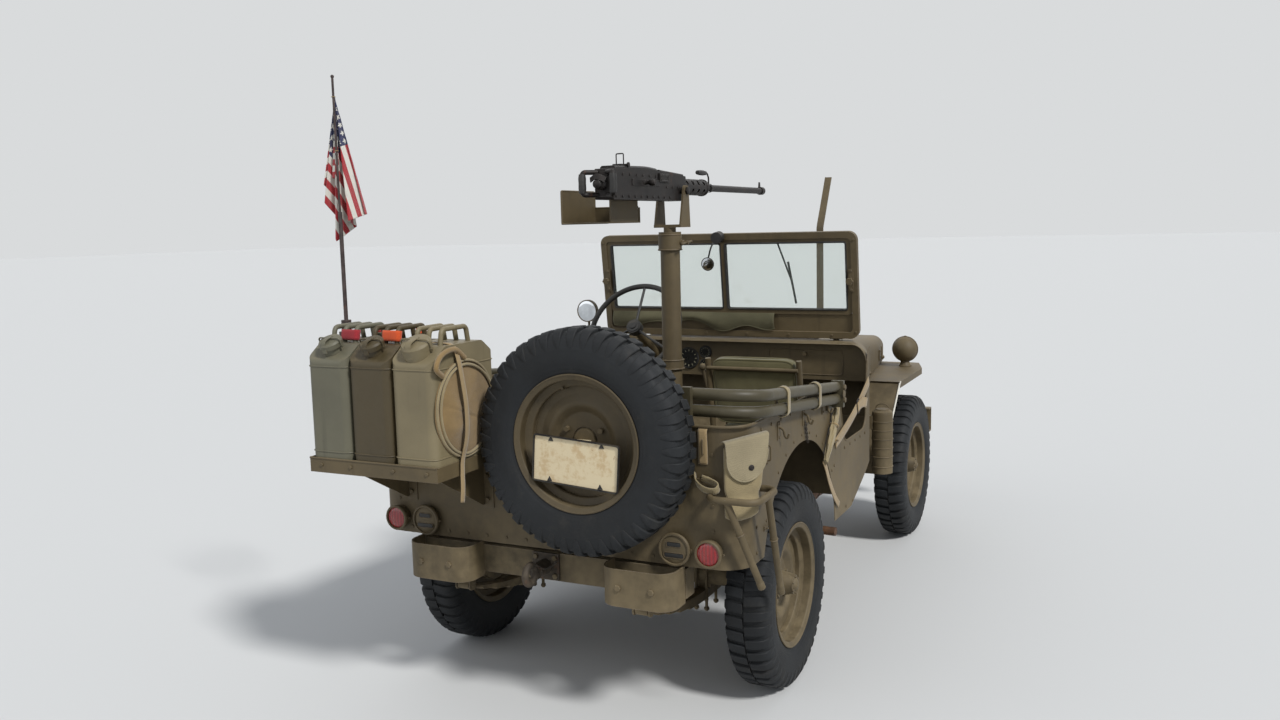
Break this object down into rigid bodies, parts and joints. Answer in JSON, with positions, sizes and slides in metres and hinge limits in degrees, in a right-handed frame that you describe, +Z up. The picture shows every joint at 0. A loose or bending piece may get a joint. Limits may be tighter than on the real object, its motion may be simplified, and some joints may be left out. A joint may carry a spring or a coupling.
{
  "type": "army 4x4 car",
  "caption": "Open army four wheel drive car with a folding windshield, pedestal mount, rear spare wheel, fuel cans, roof bows, a tall antenna with a flag and a wire cutter on its front bumper.",
  "frame": {"origin": "on the ground, midway along the vehicle and across it", "axes": "+Y forward, +X to the vehicle's right, +Z up"},
  "size_m": [1.588, 3.7618, 2.157],
  "materials": {
    "body_paint": "matt olive brown, dusty, worn at the edges",
    "frame_paint": "matt olive brown under road dust",
    "bow_paint": "semi-gloss grey green",
    "wheel_paint": "matt olive brown, dusty",
    "fuel_can_paint": "matt olive, worn at the handles",
    "water_can_paint": "matt khaki olive",
    "dark_steel": "phosphated, worn bright at edges",
    "bare_steel": "rusty pipe",
    "cast_parts": "cast, oily and dusty",
    "tyre_rubber": "worn, with dust in the grooves",
    "black_plastic": "satin black",
    "screen_glass": "clear laminated sheet",
    "lamp_parts": "olive housings",
    "red_lens": "red lens in an olive housing",
    "plate_enamel": "cream enamel, blank, dark rim",
    "seat_canvas": "olive canvas",
    "khaki_canvas": "faded khaki canvas",
    "webbing": "tan cotton webbing",
    "flag_cloth": "sewn cotton, striped, with a starred canton",
    "ash_wood": "painted ash hafts"
  },
  "bodies": {
    "car": {"antenna": "black_plastic", "body_tub": "body_paint", "can_rack": "body_paint", "canvas_bucket": "khaki_canvas", "corner_handles": "body_paint", "door_straps": "webbing", "driver_controls": "frame_paint", "driveshafts": "frame_paint", "engine_and_gearbox": "cast_parts", "exhaust": "bare_steel", "flag": "flag_cloth", "frame": "frame_paint", "front_axle": "frame_paint", "front_bumper": "body_paint", "front_fenders": "body_paint", "front_lamps": "lamp_parts", "fuel_cans": "fuel_can_paint", "grille": "body_paint", "leaf_springs": "frame_paint", "mirror": "body_paint", "number_plate": "plate_enamel", "pedestal": "body_paint", "pioneer_tools": "ash_wood", "radiator": "frame_paint", "rear_axle": "frame_paint", "rear_bumperettes": "body_paint", "rear_cushions": "seat_canvas", "rear_lamps": "red_lens", "rear_seat": "body_paint", "seat_cushions": "seat_canvas", "seat_frames": "body_paint", "side_bag": "khaki_canvas", "side_canister": "body_paint", "spare_carrier": "body_paint", "spare_tyre": "tyre_rubber", "spare_wheel": "wheel_paint", "steering_column": "body_paint", "top_bows": "bow_paint", "tow_pintle": "cast_parts", "water_can": "water_can_paint", "wire_cutter": "body_paint"},
    "knuckle_left": {"knuckle_left": "frame_paint"},
    "knuckle_right": {"knuckle_right": "frame_paint"},
    "tie_rod": {"tie_rod": "frame_paint"},
    "steering_wheel": {"steering_wheel": "black_plastic"},
    "hood": {"hood": "body_paint"},
    "windshield": {"windshield_frame": "body_paint", "windshield_glass": "screen_glass", "wipers": "black_plastic"},
    "gun_swivel": {"gun_cradle": "body_paint"},
    "gun": {"display_gun": "dark_steel", "ammo_tray": "body_paint"},
    "wheel_front_left": {"wheel_front_left": "wheel_paint", "tyre_front_left": "tyre_rubber"},
    "wheel_front_right": {"wheel_front_right": "wheel_paint", "tyre_front_right": "tyre_rubber"},
    "wheel_rear_left": {"wheel_rear_left": "wheel_paint", "tyre_rear_left": "tyre_rubber"},
    "wheel_rear_right": {"wheel_rear_right": "wheel_paint", "tyre_rear_right": "tyre_rubber"}
  },
  "joints": [
    {"name": "roll_front_left", "type": "hinge", "parent": "knuckle_left", "child": "wheel_front_left", "pos_m": [-0.6225, 1.0595, 0.36], "axis": [-1, 0, 0], "continuous": true},
    {"name": "roll_front_right", "type": "hinge", "parent": "knuckle_right", "child": "wheel_front_right", "pos_m": [0.6225, 1.0595, 0.36], "axis": [-1, 0, 0], "continuous": true},
    {"name": "roll_rear_left", "type": "hinge", "parent": "car", "child": "wheel_rear_left", "pos_m": [-0.6225, -0.9725, 0.36], "axis": [-1, 0, 0], "continuous": true},
    {"name": "roll_rear_right", "type": "hinge", "parent": "car", "child": "wheel_rear_right", "pos_m": [0.6225, -0.9725, 0.36], "axis": [-1, 0, 0], "continuous": true},
    {"name": "steer_left", "type": "hinge", "parent": "car", "child": "knuckle_left", "pos_m": [-0.495, 1.0595, 0.36], "axis": [0, 0, 1], "range_deg": [-25, 25]},
    {"name": "steer_right", "type": "hinge", "parent": "car", "child": "knuckle_right", "pos_m": [0.495, 1.0595, 0.36], "axis": [0, 0, 1], "range_deg": [-25, 25]},
    {"name": "tie_rod_slide", "type": "slide", "parent": "car", "child": "tie_rod", "axis": [1, 0, 0], "range_m": [-0.0656, 0.0656]},
    {"name": "steering_wheel_turn", "type": "hinge", "parent": "car", "child": "steering_wheel", "pos_m": [-0.33, -0.1425, 1.17], "axis": [0, -0.8384, 0.545], "range_deg": [-350, 350]},
    {"name": "hood_hinge", "type": "hinge", "parent": "car", "child": "hood", "pos_m": [0, 0.2115, 1.102], "axis": [1, 0, 0], "range_deg": [0, 46]},
    {"name": "windshield_hinge", "type": "hinge", "parent": "car", "child": "windshield", "pos_m": [0, 0.1895, 1.112], "axis": [1, 0, 0], "range_deg": [-95, 0]},
    {"name": "gun_traverse", "type": "hinge", "parent": "car", "child": "gun_swivel", "pos_m": [0, -0.4675, 1.6], "axis": [0, 0, 1], "continuous": true},
    {"name": "gun_elevation", "type": "hinge", "parent": "gun_swivel", "child": "gun", "pos_m": [0, -0.4275, 1.765], "axis": [1, 0, 0], "range_deg": [-8, 45]}
  ],
  "couplings": [
    {"joint": "steer_right", "follows": "steer_left", "ratio": 1},
    {"joint": "tie_rod_slide", "follows": "steer_left", "m_per_rad": -0.15},
    {"joint": "steering_wheel_turn", "follows": "steer_left", "ratio": 14}
  ]
}
